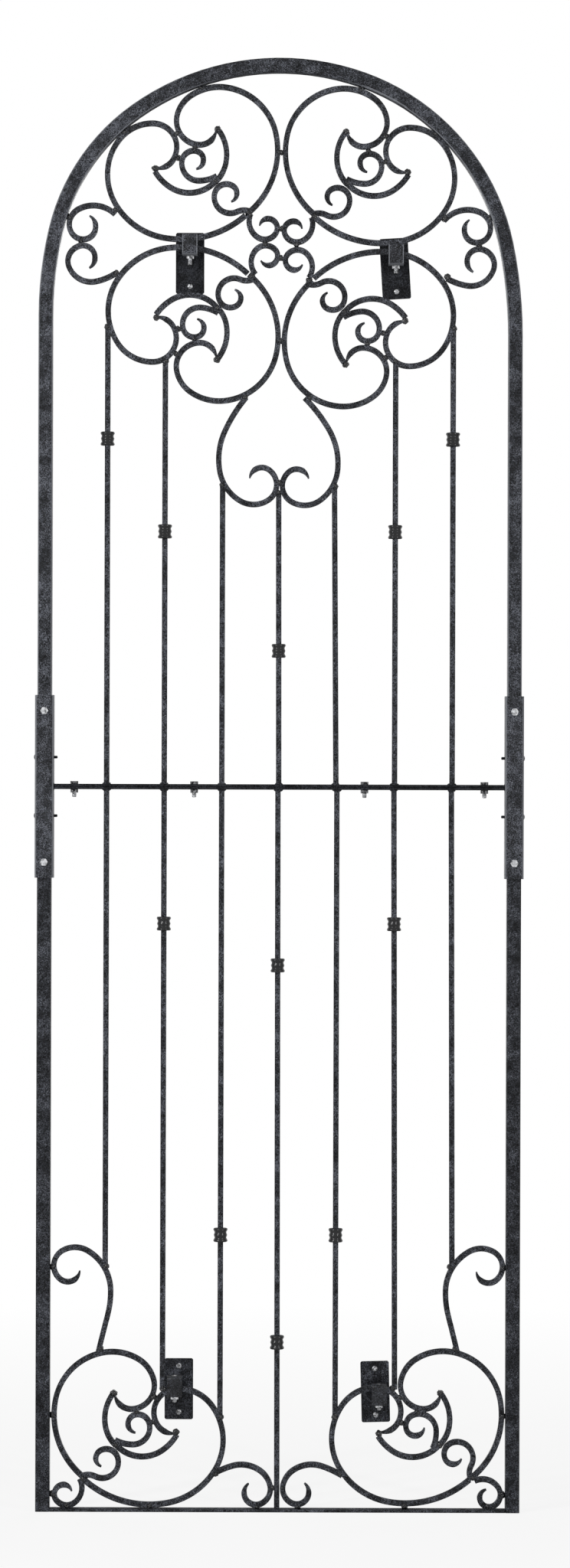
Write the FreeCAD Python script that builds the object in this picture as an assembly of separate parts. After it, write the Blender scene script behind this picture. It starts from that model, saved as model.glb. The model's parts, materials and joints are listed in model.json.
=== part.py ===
import FreeCAD, Part
import math
import os

# Arched wrought-iron trellis panel in two bolted halves, held off the wall by four swivelling brackets.
# Frame: millimetres, +Z up, front towards -Y, wall towards +Y. The origin is the middle of the
# bottom rail's underside. Every tube and bar is centred on the plane y = 0.

Vec = FreeCAD.Vector
FRONT_AXIS = Vec(0, 1, 0)
UP = Vec(0, 0, 1)
DOWN = Vec(0, 0, -1)

# ---- driving dimensions of the frame -----------------------------------------------------------
PANEL_WIDTH = 710.0          # outside to outside of the posts
PANEL_HEIGHT = 2134.0        # underside of the bottom rail to the crown of the arch
SPLIT_HEIGHT = 1064.0        # plane where the two halves meet
TUBE = 21.0                  # square frame tube, outside
TUBE_WALL = 1.5
TUBE_CORNER = 2.5            # outside corner radius of the tube
RAIL_DEPTH = 20.0            # flat bar of the three rails, front to back
RAIL_THICK = 4.0
FOOT_HOLE_PITCH = 182.0      # four screw holes along the bottom rail
RAIL_BOLT_INSET = 33.0       # outer rail bolts, from the inside of the posts
RAIL_BOLT_OFF_BAR = 40.5     # inner rail bolts, outwards from the bars beside the middle one

# ---- driving dimensions of the ironwork --------------------------------------------------------
BAR = 8.0                    # square bar of the scrolls and uprights
BARS_PER_HALF = 7
TIP_TAPER = 15.0             # length of the drawn-out end of a curl
TIP_WIDTH = 2.2              # width of the blunt point of a curl
COLLAR_FLANGE_R = 10.7
COLLAR_RIDGE_R = 10.0
COLLAR_WAIST_R = 8.6
COLLAR_LIP = 1.0             # straight edge of a collar's end flange
COLLAR_HEIGHT = 20.0
BEAD_R = 6.0                 # weld bead where several bars meet
SMALL_BEAD_R = 5.3           # weld bead where two bars touch
BEAD_SHOULDER = 1.5          # step in from a bead's core to its dome, which stands proud of the bars
BEAD_DOME = 2.0
SMALLEST_WELD = 8.0          # mm3 of a bead that is left between the bars

# ---- driving dimensions of the joint between the halves ----------------------------------------
SLEEVE_LENGTH = 268.0
SLEEVE_WALL = 3.0
SLEEVE_GAP = 0.4             # clearance between a post and its sleeve
SLEEVE_BEND_R = 3.6          # outside bend radius of the sleeve
SLEEVE_NOTCH_GAP = 1.0       # clearance round the cross rails
SLEEVE_BOLT_OFFSET = 111.0   # front bolts, from the split plane
SLEEVE_SCREW_OFFSET = 43.0   # side screws, from the split plane

# ---- fasteners ---------------------------------------------------------------------------------
BOLT_R = 3.0                 # M6 bolts
BOLT_HOLE_GAP = 0.3
HEX_FLATS = 10.0
HEX_HEAD = 4.0
NUT_HEIGHT = 5.0
THREAD_SHOW = 6.5            # thread that stands out of a nut
THREAD_CHAMFER = 0.8
SCREW_R = 2.0                # M4 screws in the sides of the sleeves
SCREW_HOLE_GAP = 0.2
SCREW_HEAD_R = 4.6
SCREW_HEAD = 2.0
SCREW_SHOW = 5.0

# ---- driving dimensions of the wall brackets ---------------------------------------------------
PLATE_W = 42.0
PLATE_H = 90.0
PLATE_THICK = 3.0
PLATE_CORNER = 3.0
PLATE_HOLE_R = 3.0
PLATE_HOLE_PITCH = 68.0
STANDOFF = 34.0              # back of the bars to the wall
CLIP_W = 22.0                # clip round the scroll bars
CLIP_H = 30.0
CLIP_THICK = 3.0
CLIP_BEND_R = 3.6            # outside bend radius of the clip
CLIP_GAP = 0.2               # clearance between a clip and the front of the bars
CLIP_HEAD_R = 5.0            # low domed head of the clip's bolt
CLIP_HEAD = 1.4
BARREL_R = 6.0
BARREL_GAP = 1.5             # clearance between the barrel and the back of the bars
BORE_GAP = 0.05              # running clearance of the barrel on its bolt
BARREL_END_GAP = 0.3
CLIP_LEG_END = 6.5           # clip leg behind the bolt's axis
ARM_THICK = 4.0              # arm from the barrel to the boss on the wall plate
ARM_NECK_H = 10.0            # arm height at the barrel, on the clip's lower leg
ARM_FOOT_H = 20.0            # arm height at the boss
ARM_NECK_END = 12.0          # from the bolt's axis, past the reach of the clip's corners at full swing
BOSS_R = 14.0                # round boss in the middle of a wall plate
BOSS_THICK = 2.0

# ---- derived sizes -----------------------------------------------------------------------------
HALF_CLEAR = PANEL_WIDTH / 2 - TUBE
POST_X = PANEL_WIDTH / 2 - TUBE / 2
ARCH_DATUM = PANEL_HEIGHT - PANEL_WIDTH / 2
BAR_PITCH = (2 * HALF_CLEAR + BAR) / (BARS_PER_HALF + 1)
RAIL_BOLT_PLACES = [side * x for x in (BAR_PITCH + RAIL_BOLT_OFF_BAR, HALF_CLEAR - RAIL_BOLT_INSET)
                    for side in (-1, 1)]
BOLT_HOLE_R = BOLT_R + BOLT_HOLE_GAP
SCREW_HOLE_R = SCREW_R + SCREW_HOLE_GAP
SLEEVE_HALF = TUBE / 2 + SLEEVE_GAP + SLEEVE_WALL
WALL_Y = BAR / 2 + STANDOFF
PIVOT_Y = BAR / 2 + BARREL_GAP + BARREL_R

# ---- scrollwork template -----------------------------------------------------------------------
# The scrolls were drawn for a clear opening of 668 mm and grow with the opening. A path is a start
# point (x, z), a heading in degrees from +X towards +Z, and arcs of (radius, sweep); a positive
# sweep turns left.
TEMPLATE_CLEAR = 668.0
UNIT = 2 * HALF_CLEAR / TEMPLATE_CLEAR

# Inner edge of the arch from the left springing, as (radius, sweep) in template size, all turning
# right. One more arc closes the half turn; its radius follows from the opening.
ARCH_ARCS = [(539.5, 13.0), (288.5, 41.4), (353.0, 55.1), (316.0, 58.6)]

# One motif opens up and to the left from its root at (0, 0).
TALL_SCROLL = ((-3.0, 0.0), 38.5, [(119, 63.5), (87, 70), (74, 42), (49, 43), (35, 98.5), (24.5, 87)])
WIDE_SCROLL = ((-5.0, -2.0), -139.0, [(144, -51), (104, -47), (86, -68), (61, -57), (35, -118), (27, -65)])
LEAF_BLADES = [
    ((-44.0, 122.0), -55.0, [(62, -47), (50, -34)]),
    ((-138.0, 62.0), -58.5, [(72, 25), (52, 81)]),
]
INNER_CURL = ((-47.0, 55.8), -151.0, [(56, -28), (25, -106), (17, -91.5), (13.5, -152)])
MIDDLE_CURL = ((4.5, 2.5), 150.5, [(24, 54.5), (23.5, -133.5), (17.5, -104), (13, -127)])
OUTER_CURL = ((1.7, -1.1), -112.0, [(27.5, 82), (19, 92.5), (14, 105.5), (12.5, 93)])
MOTIF_BEADS = [(0, 0), (-49, 49), (-46, 124), (-137, 66)]
MOTIF_SMALL_BEADS = [(-105, 119), (-79.5, 96.5), (-104.5, 82)]

# Where the motifs sit. Heights count from a datum: "arch" is half a width below the crown, "split"
# the joint of the halves and "foot" the top of the bottom rail. The bars were welded by eye: a piece
# with an entry (dx, dz, turn) sits that far from its place in the motif, turned about the root. The
# outer curl's turn counts from the panel, not from the motif.
DATUM = {"arch": ARCH_DATUM, "split": SPLIT_HEIGHT, "foot": RAIL_THICK}
MOTIFS = {
    "arch_left": dict(datum="arch", x=-47.2, z=126.4, turn=0.0, outer=(1.1, 1.3, -1.8)),
    "arch_right": dict(datum="arch", x=48.9, z=122.6, turn=0.0, flip_x=True, outer=(-2.4, 0.0, -1.3),
                       tall=(-1.7, 2.4, -0.6), wide=(-2.2, -0.4, -0.4), middle=(0, 0, -2.0)),
    "hanging_left": dict(datum="arch", x=-42.3, z=34.6, turn=-2.5, flip_z=True, outer=(3.6, 2.0, 17.3),
                         tall=(-1.6, 2.9, 1.4), wide=(-1.5, 2.1, 0.5), middle=(0, 0, 5.1)),
    "hanging_right": dict(datum="arch", x=41.6, z=27.9, turn=3.6, flip_x=True, flip_z=True,
                          outer=(1.1, 3.9, -12.6), tall=(1.7, 0.9, -1.1), wide=(1.9, 1.9, -1.0)),
    "corner_left": dict(datum="foot", x=-284.7, z=43.6, turn=1.0, flip_x=True, outer=(-3.6, 0.7, 6.0),
                        tall=(1.7, -1.7, 0.8), wide=(-2.1, -1.4, -0.6), middle=(0, 0, -2.1)),
    "corner_right": dict(datum="foot", x=287.1, z=47.0, turn=1.0, swap=True, outer=(1.0, -3.8, 4.0),
                         tall=(-0.4, -1.7, -1.1), wide=(-0.2, -1.6, -1.2), inner=(0, 0, 3.3),
                         middle=(0, 0, -3.7)),
}
# Single scrolls, bent to both hands: node, datum, the left bar's arcs, then start and heading of the
# left bar and of the right one, whose arcs turn the other way.
SINGLES = [
    ("side_scrolls", "arch", [(46, 72), (25.5, 82), (20, 65.5), (18.5, 154)],
     ((-243.5, 125.5), 136.0), ((239.0, 117.2), 50.0)),
    ("side_scrolls", "arch", [(88, -20.5), (35, -79), (23.5, -94.5), (18, -167)],
     ((-242.0, 39.0), -147.0), ((243.8, 32.6), -29.7)),
    ("heart_scrolls", "arch", [(223, 15), (100, 35), (63, 48.5), (39, 65.5), (27, 109), (18, 119)],
     ((-50.5, -143.0), -129.5), ((35.5, -143.4), -44.8)),
    ("s_scrolls", "foot", [(3136, -1), (138, 15.5), (68, 59), (37, 59), (25.5, 113), (17.5, 124)],
     ((-263.0, 230.5), 76.5), ((263.6, 230.3), 103.5)),
    ("foot_scrolls", "foot", [(144, -13), (48, -53.5), (36, -41), (24, -75.5), (17.5, -169)],
     ((-97.0, 49.4), 30.2), ((95.1, 48.9), 148.6)),
]
# Ends of the uprights away from the cross rails, from the outermost bar to the middle one, and how
# far the ends of single bars stand off their pitch: half, bar from the left, at the split, far end.
UPPER_BAR_ENDS = (-41.0, -90.0, -272.0, -285.0)
LOWER_BAR_ENDS = (354.0, 176.0, 134.0, 0.0)
BAR_LEANS = {("upper", 3): (-1.0, -2.2), ("upper", 4): (-1.5, -4.8), ("lower", 3): (-2.0, -0.8),
             ("lower", 5): (-0.8, 2.6), ("lower", 6): (-1.0, 1.8)}
# Collars: datum, bar counted from the outside, height.
COLLARS = [("arch", 0, -204.0), ("arch", 1, -340.0), ("split", 3, 200.0), ("split", 1, -201.0),
           ("split", 3, -262.0), ("foot", 2, 402.0), ("foot", 3, 244.5)]
# Weld beads on the left half and the middle line; those off the middle line have mirror images. The
# lone beads have none, because the bars that they join don't mirror each other.
BEADS = [
    ("arch", -117.3, 310.3), ("arch", -229.6, 246.3), ("arch", 0.0, -268.0), ("foot", -331.8, 136.9),
    ("foot", -187.0, 2.5), ("foot", -331.8, 21.3), ("foot", -309.0, 2.2), ("foot", -331.8, 354.7),
    ("foot", -252.7, 355.8), ("foot", -260.4, 234.6), ("foot", -91.5, 51.8), ("foot", -168.3, 176.2),
    ("foot", -83.9, 134.5),
]
LONE_BEADS = [
    ("arch", -312.6, 121.6), ("arch", -242.0, 132.9), ("arch", -242.0, 38.6), ("arch", -52.2, -142.2),
    ("arch", -84.5, -272.0), ("arch", 307.6, 121.5), ("arch", 240.0, 121.0), ("arch", 244.0, 35.0),
    ("arch", 43.0, -143.0), ("arch", 80.5, -273.0),
]
SMALL_BEADS = [
    ("arch", 0.0, 217.1), ("arch", 0.0, -60.2), ("arch", 0.0, 104.8), ("arch", 0.0, 61.6),
    ("arch", -23.0, 82.2), ("arch", -254.0, -41.0), ("arch", -168.5, -90.0), ("foot", -7.5, 30.7),
    ("foot", -29.6, 3.0),
]
LONE_SMALL_BEADS = [("arch", -293.6, 85.8), ("arch", 291.0, 80.0), ("arch", -2.0, -284.0)]
# Wall brackets: clip centre, then the wall plate's centre from the clip's and its roll in degrees,
# and how much thread of the clip's bolt stands out of its nut.
BRACKETS = {
    "upper_left": dict(datum="arch", x=-133.6, z=81.8, plate=(-0.4, -23.8), roll=0.0, thread=10.0),
    "upper_right": dict(datum="arch", x=169.2, z=68.2, plate=(-0.5, -17.3), roll=3.5, thread=7.5),
    "lower_left": dict(datum="foot", x=-151.5, z=178.6, plate=(5.8, -7.7), roll=0.0, thread=4.5),
    "lower_right": dict(datum="foot", x=149.3, z=167.0, plate=(-5.2, 0.6), roll=1.5, thread=3.5),
}

parts = {}


# ---- paths -------------------------------------------------------------------------------------
def turned_path(path, angle):
    (x, z), heading, arcs = path
    c, s = math.cos(math.radians(angle)), math.sin(math.radians(angle))
    return (x * c - z * s, x * s + z * c), heading + angle, arcs


def mirrored_path(path, axis_angle):
    """Mirror image in the line through (0, 0) at axis_angle degrees from +X."""
    (x, z), heading, arcs = turned_path(path, -axis_angle)
    return turned_path(((x, -z), -heading, [(radius, -sweep) for radius, sweep in arcs]), axis_angle)


def moved_path(path, x, z):
    (px, pz), heading, arcs = path
    return (px + x, pz + z), heading, arcs


def in_panel(path, datum):
    """Grows a template path to the real opening and lifts it to its datum."""
    (x, z), heading, arcs = path
    grown = [(radius * UNIT, sweep) for radius, sweep in arcs]
    return (x * UNIT, z * UNIT + DATUM[datum]), heading, grown


def placed(path, motif, shift=(0.0, 0.0), turn=0.0):
    if motif.get("flip_x"):
        path = mirrored_path(path, 90)
    if motif.get("flip_z"):
        path = mirrored_path(path, 0)
    path = moved_path(turned_path(path, turn), motif["x"] + shift[0], motif["z"] + shift[1])
    return in_panel(path, motif["datum"])


def swapped(path, motif):
    """Curls of a motif that was made to the other hand about its own diagonal."""
    return mirrored_path(path, 135) if motif.get("swap") else path


def by_eye(path, motif, piece):
    """A path of a motif where its bar was really welded."""
    dx, dz, turn = motif.get(piece, (0, 0, 0))
    if piece != "outer":
        turn += motif["turn"]
    return placed(path, motif, (dx, dz), turn)


# ---- bent bars ---------------------------------------------------------------------------------
def arc_stretches(path):
    """A path as stretches (centre x, centre z, radius, first angle, sweep) in radians."""
    (x, z), heading, arcs = path
    along = math.radians(heading)
    out = []
    for radius, sweep in arcs:
        side = 1 if sweep > 0 else -1
        cx = x - side * radius * math.sin(along)
        cz = z + side * radius * math.cos(along)
        first = along - side * math.pi / 2
        angle = math.radians(sweep)
        out.append((cx, cz, radius, first, angle))
        x = cx + radius * math.cos(first + angle)
        z = cz + radius * math.sin(first + angle)
        along += angle
    return out


def run_length(stretch):
    return abs(stretch[2] * stretch[4])


def beside(stretch, share, offset):
    """Point at a share of a stretch, moved offset to the left of the bar's centre line."""
    cx, cz, radius, first, angle = stretch
    side = 1 if angle > 0 else -1
    at = first + share * angle
    reach = radius - side * offset
    return Vec(cx + reach * math.cos(at), 0, cz + reach * math.sin(at))


def cut_off_end(stretches, length):
    """Splits a chain of stretches into its body and the last length of it."""
    body = list(stretches)
    end = []
    left = length
    while left > 1e-6:
        cx, cz, radius, first, angle = body.pop()
        run = abs(radius * angle)
        if run > left:
            kept = angle * (1 - left / run)
            body.append((cx, cz, radius, first, kept))
            first, angle, run = first + kept, angle - kept, left
        end.insert(0, (cx, cz, radius, first, angle))
        left -= run
    return body, end


def side_edges(body, end, sign):
    """Edges along one side of a bar that narrows over its end stretches."""
    half = BAR / 2
    edges = [Part.Arc(*[beside(s, share, sign * half) for share in (0, 0.5, 1)]).toShape() for s in body]
    total = sum(run_length(s) for s in end)
    done = 0.0
    for s in end:
        points = []
        for share in (0, 0.5, 1):
            narrowed = (done + share * run_length(s)) / total
            width = half + (TIP_WIDTH / 2 - half) * narrowed
            points.append(beside(s, share, sign * width))
        edges.append(Part.Arc(*points).toShape())
        done += run_length(s)
    return edges


def bent_bar(path, tapered=True):
    """Square bar bent along a path, centred on the panel's plane."""
    stretches = arc_stretches(path)
    body, end = cut_off_end(stretches, TIP_TAPER) if tapered else (stretches, [])
    left = side_edges(body, end, 1)
    right = side_edges(body, end, -1)
    root = Part.LineSegment(left[0].firstVertex(True).Point, right[0].firstVertex(True).Point).toShape()
    tip = Part.LineSegment(left[-1].lastVertex(True).Point, right[-1].lastVertex(True).Point).toShape()
    face = Part.Face(Part.Wire(Part.__sortEdges__(left + [tip] + right + [root])))
    face.translate(Vec(0, -BAR / 2, 0))
    return face.extrude(Vec(0, BAR, 0))


# ---- plain shapes ------------------------------------------------------------------------------
def box(x_size, y_size, z_size, centre_x=0.0, centre_y=0.0, low_z=0.0):
    return Part.makeBox(x_size, y_size, z_size, Vec(centre_x - x_size / 2, centre_y - y_size / 2, low_z))


def rounded_rectangle(width, height, corner):
    """Closed wire round (0, 0) in the XY plane."""
    w, h = width / 2, height / 2
    k = corner * (1 - math.sqrt(0.5))
    edges = []
    for sx, sy in ((1, 1), (-1, 1), (-1, -1), (1, -1)):
        ends = [Vec(sx * w, sy * (h - corner), 0), Vec(sx * (w - corner), sy * h, 0)]
        if sx * sy < 0:
            ends.reverse()
        edges.append(Part.Arc(ends[0], Vec(sx * (w - k), sy * (h - k), 0), ends[1]).toShape())
    lines = []
    for i, edge in enumerate(edges):
        here = edge.lastVertex(True).Point
        there = edges[(i + 1) % 4].firstVertex(True).Point
        lines.append(Part.LineSegment(here, there).toShape())
    return Part.Wire(Part.__sortEdges__(edges + lines))


def tube_face(hollow=True):
    outer = Part.Face(rounded_rectangle(TUBE, TUBE, TUBE_CORNER))
    if not hollow:
        return outer
    bore = TUBE - 2 * TUBE_WALL
    inner_corner = max(TUBE_CORNER - TUBE_WALL, 0.3)
    return outer.cut(Part.Face(rounded_rectangle(bore, bore, inner_corner)))


def u_profile(width, depth, thick, bend):
    """Face of a U section in the XY plane: web along x at y = 0, legs towards +y, open at y = depth."""
    w = width / 2
    outer = rounded_rectangle(width, 2 * depth, bend)
    inner = rounded_rectangle(width - 2 * thick, 2 * (depth - thick), max(bend - thick, 0.3))
    face = Part.Face(outer).cut(Part.Face(inner))
    face.translate(Vec(0, depth, 0))
    return face.common(Part.makePlane(2 * w, depth, Vec(-w, 0, 0)))


def pointing(shape, axis):
    """Turns a shape built along +Z so that it runs along axis."""
    turned = shape.copy()
    turned.Placement = FreeCAD.Placement(Vec(0, 0, 0), FreeCAD.Rotation(UP, axis))
    return turned


def moved(shape, place):
    out = shape.copy()
    out.translate(place)
    return out


def hexagon(height):
    corner = HEX_FLATS / 2 / math.cos(math.pi / 6)
    angles = [i * math.pi / 3 for i in range(7)]
    points = [Vec(corner * math.cos(angle), corner * math.sin(angle), 0) for angle in angles]
    return Part.Face(Part.makePolygon(points)).extrude(Vec(0, 0, height))


def shank(radius, length):
    """Threaded shank along +Z with a chamfered end."""
    plain = Part.makeCylinder(radius, length - THREAD_CHAMFER)
    point = Part.makeCone(radius, radius - THREAD_CHAMFER, THREAD_CHAMFER, Vec(0, 0, length - THREAD_CHAMFER))
    return plain.fuse(point)


def hex_bolt(under_head, axis, grip):
    """Bolt through a stack of height grip, with room for its nut and a bare thread."""
    head = moved(hexagon(HEX_HEAD), Vec(0, 0, -HEX_HEAD))
    body = head.fuse(shank(BOLT_R, grip + NUT_HEIGHT + THREAD_SHOW)).removeSplitter()
    return moved(pointing(body, axis), under_head)


def dome_bolt(under_head, axis, length, radius, head_r, rise):
    """Bolt or screw with a low domed head."""
    dome_r = (head_r ** 2 + rise ** 2) / (2 * rise)
    ball = Part.makeSphere(dome_r, Vec(0, 0, dome_r - rise))
    head = ball.common(Part.makeCylinder(head_r + 1, rise, Vec(0, 0, -rise)))
    return moved(pointing(head.fuse(shank(radius, length)).removeSplitter(), axis), under_head)


def hex_nut(under_nut, axis):
    nut = hexagon(NUT_HEIGHT).cut(Part.makeCylinder(BOLT_R, NUT_HEIGHT))
    return moved(pointing(nut, axis), under_nut)


def near(a, b):
    return a.BoundBox.intersect(b.BoundBox)


def largest(shape):
    return max(shape.Solids, key=lambda s: s.Volume)


def fitted(shape, neighbours):
    """Copes a piece round the pieces that are already in place."""
    tools = [n for n in neighbours if near(shape, n)]
    return largest(shape.cut(tools)) if tools else shape


# ---- frame -------------------------------------------------------------------------------------
def post_holes(side, above):
    """Through holes of one post end for the sleeve's front bolt and side screw."""
    sign = 1 if above else -1
    x = side * POST_X
    front = Part.makeCylinder(BOLT_HOLE_R, 2 * TUBE, Vec(x, -TUBE, SPLIT_HEIGHT + sign * SLEEVE_BOLT_OFFSET),
                              FRONT_AXIS)
    across = Part.makeCylinder(SCREW_HOLE_R, 2 * TUBE,
                               Vec(x - TUBE, 0, SPLIT_HEIGHT + sign * SLEEVE_SCREW_OFFSET), Vec(1, 0, 0))
    return [front, across]


def arch_stretches():
    """The arch's centre line as stretches, from the left springing at height 0 to the right one."""
    centre_arcs = [(radius * UNIT + TUBE / 2, -sweep) for radius, sweep in ARCH_ARCS]
    drawn = arc_stretches(((-POST_X, 0), 90, centre_arcs))
    cx, cz, radius, first, angle = drawn[-1]
    reached = cx + radius * math.cos(first + angle)
    last_sweep = 180 - sum(sweep for radius, sweep in ARCH_ARCS)
    last_radius = (POST_X - reached) / (1 - math.cos(math.radians(last_sweep)))
    return arc_stretches(((-POST_X, 0), 90, centre_arcs + [(last_radius, -last_sweep)]))


def arch_solid(hollow):
    stretches = arch_stretches()
    rise = max(cz + radius for cx, cz, radius, first, angle in stretches
               if first > math.pi / 2 > first + angle)
    low = PANEL_HEIGHT - TUBE / 2 - rise
    section = moved(tube_face(hollow), Vec(-POST_X, 0, low))
    pieces = [moved(tube_face(hollow), Vec(-POST_X, 0, SPLIT_HEIGHT)).extrude(Vec(0, 0, low - SPLIT_HEIGHT))]
    for cx, cz, radius, first, angle in stretches:
        centre = Vec(cx, 0, cz + low)
        pieces.append(section.revolve(centre, FRONT_AXIS, -math.degrees(angle)))
        section = section.copy()
        section.rotate(centre, FRONT_AXIS, -math.degrees(angle))
    pieces.append(section.extrude(Vec(0, 0, SPLIT_HEIGHT - section.CenterOfMass.z)))
    return largest(pieces[0].fuse(pieces[1:]).removeSplitter())


def post_solid(side, hollow):
    return moved(tube_face(hollow), Vec(side * POST_X, 0, 0)).extrude(Vec(0, 0, SPLIT_HEIGHT))


def rail(low_z, hole_places):
    """Flat bar between the posts with a row of bolt holes."""
    holes = [Part.makeCylinder(BOLT_HOLE_R, RAIL_THICK, Vec(x, 0, low_z)) for x in hole_places]
    return box(2 * HALF_CLEAR, RAIL_DEPTH, RAIL_THICK, low_z=low_z).cut(holes)


def make_frame():
    parts["arch_frame"] = [arch_solid(True).cut(post_holes(1, True) + post_holes(-1, True))]
    for side, name in ((-1, "left"), (1, "right")):
        parts[name + "_post"] = [post_solid(side, True).cut(post_holes(side, False))]
    parts["upper_cross_rail"] = [rail(SPLIT_HEIGHT, RAIL_BOLT_PLACES)]
    parts["lower_cross_rail"] = [rail(SPLIT_HEIGHT - RAIL_THICK, RAIL_BOLT_PLACES)]
    parts["bottom_rail"] = [rail(0, [(i - 1.5) * FOOT_HOLE_PITCH for i in range(4)])]


def make_sleeves():
    depth = SLEEVE_HALF + TUBE / 2
    notch_z = RAIL_THICK + SLEEVE_NOTCH_GAP
    for side, name in ((-1, "left"), (1, "right")):
        face = moved(u_profile(2 * SLEEVE_HALF, depth, SLEEVE_WALL, SLEEVE_BEND_R),
                     Vec(side * POST_X, -SLEEVE_HALF, SPLIT_HEIGHT - SLEEVE_LENGTH / 2))
        sleeve = face.extrude(Vec(0, 0, SLEEVE_LENGTH))
        notch = Part.makeBox(2 * SLEEVE_WALL, TUBE, 2 * notch_z,
                             Vec(side * (POST_X - SLEEVE_HALF) - SLEEVE_WALL,
                                 -RAIL_DEPTH / 2 - SLEEVE_NOTCH_GAP, SPLIT_HEIGHT - notch_z))
        holes = []
        for above in (True, False):
            sign = 1 if above else -1
            holes.append(Part.makeCylinder(BOLT_HOLE_R, 2 * TUBE, Vec(
                side * POST_X, -2 * TUBE, SPLIT_HEIGHT + sign * SLEEVE_BOLT_OFFSET), FRONT_AXIS))
            holes.append(Part.makeCylinder(SCREW_HOLE_R, 4 * TUBE, Vec(
                side * POST_X - 2 * TUBE, 0, SPLIT_HEIGHT + sign * SLEEVE_SCREW_OFFSET), Vec(1, 0, 0)))
        parts[name + "_sleeve"] = [sleeve.cut([notch] + holes)]


def make_fasteners():
    bolts, nuts, screws = [], [], []
    for side in (-1, 1):
        for sign in (1, -1):
            bolt_z = SPLIT_HEIGHT + sign * SLEEVE_BOLT_OFFSET
            bolts.append(hex_bolt(Vec(side * POST_X, -SLEEVE_HALF, bolt_z), FRONT_AXIS,
                                  SLEEVE_HALF + TUBE / 2))
            nuts.append(hex_nut(Vec(side * POST_X, TUBE / 2, bolt_z), FRONT_AXIS))
            screw_z = SPLIT_HEIGHT + sign * SLEEVE_SCREW_OFFSET
            screws.append(dome_bolt(Vec(side * (POST_X + SLEEVE_HALF), 0, screw_z), Vec(-side, 0, 0),
                                    2 * SLEEVE_HALF + SCREW_SHOW, SCREW_R, SCREW_HEAD_R, SCREW_HEAD))
    parts["sleeve_bolts"] = bolts
    parts["sleeve_nuts"] = nuts
    parts["sleeve_screws"] = screws
    parts["rail_bolts"] = [hex_bolt(Vec(x, 0, SPLIT_HEIGHT + RAIL_THICK), DOWN, 2 * RAIL_THICK)
                           for x in RAIL_BOLT_PLACES]
    parts["rail_nuts"] = [hex_nut(Vec(x, 0, SPLIT_HEIGHT - RAIL_THICK), DOWN) for x in RAIL_BOLT_PLACES]


# ---- ironwork ----------------------------------------------------------------------------------
def set_in(name, bars, placed_bars):
    """Copes each new bar round what is in place, and files it under name."""
    for bar in bars:
        piece = fitted(bar, placed_bars)
        parts.setdefault(name, []).append(piece)
        placed_bars.append(piece)


def make_scrolls(placed_bars):
    for name, motif in MOTIFS.items():
        set_in(name + "_tall_scroll", [bent_bar(by_eye(TALL_SCROLL, motif, "tall"))], placed_bars)
        set_in(name + "_wide_scroll", [bent_bar(by_eye(WIDE_SCROLL, motif, "wide"))], placed_bars)
    for name, motif in MOTIFS.items():
        blades = [bent_bar(by_eye(path, motif, "leaf"), tapered=False) for path in LEAF_BLADES]
        set_in(name + "_leaf_blades", blades, placed_bars)
        curls = [bent_bar(by_eye(swapped(path, motif), motif, piece))
                 for piece, path in (("inner", INNER_CURL), ("middle", MIDDLE_CURL), ("outer", OUTER_CURL))]
        set_in(name + "_curls", curls, placed_bars)
    for name, datum, arcs, left, right in SINGLES:
        other_hand = [(radius, -sweep) for radius, sweep in arcs]
        for side, (start, heading), bends in (("left_", left, arcs), ("right_", right, other_hand)):
            node = side + name if name == "side_scrolls" else name
            set_in(node, [bent_bar(in_panel((start, heading, bends), datum))], placed_bars)


def bar_from_outside(i):
    return min(i, BARS_PER_HALF - 1 - i, len(UPPER_BAR_ENDS) - 1)


def bar_x(i):
    return (i - (BARS_PER_HALF - 1) / 2) * BAR_PITCH


def upright(half, i, split_end, far_end):
    """Square bar from the rail at split_end to far_end; a leaning bar keeps its level ends."""
    near_lean, far_lean = BAR_LEANS.get((half, i), (0, 0))
    corners = []
    for lean, z in ((near_lean, split_end), (far_lean, far_end)):
        corners.append([Vec(bar_x(i) + lean * UNIT + s * BAR / 2, -BAR / 2, z) for s in (-1, 1)])
    outline = corners[0] + corners[1][::-1] + corners[0][:1]
    return Part.Face(Part.makePolygon(outline)).extrude(Vec(0, BAR, 0))


def make_uprights(placed_bars):
    upper, lower = [], []
    for i in range(BARS_PER_HALF):
        place = bar_from_outside(i)
        top = DATUM["arch"] + UPPER_BAR_ENDS[place] * UNIT
        foot = DATUM["foot"] + LOWER_BAR_ENDS[place] * UNIT
        upper.append(upright("upper", i, SPLIT_HEIGHT + RAIL_THICK, top))
        lower.append(upright("lower", i, SPLIT_HEIGHT - RAIL_THICK, foot))
    set_in("upper_bars", upper, placed_bars)
    set_in("lower_bars", lower, placed_bars)


def collar_profile():
    """Half outline of a collar: two end flanges and a middle ridge with waists between."""
    end = COLLAR_HEIGHT / 2
    flange = end - COLLAR_LIP - 1.0
    waist = flange / 2
    outline = [(0, -end), (COLLAR_FLANGE_R - COLLAR_LIP, -end), (COLLAR_FLANGE_R, -flange),
               (COLLAR_WAIST_R, -waist), (COLLAR_RIDGE_R, 0), (COLLAR_WAIST_R, waist),
               (COLLAR_FLANGE_R, flange), (COLLAR_FLANGE_R - COLLAR_LIP, end), (0, end), (0, -end)]
    return Part.Face(Part.makePolygon([Vec(r, 0, z) for r, z in outline]))


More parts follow.
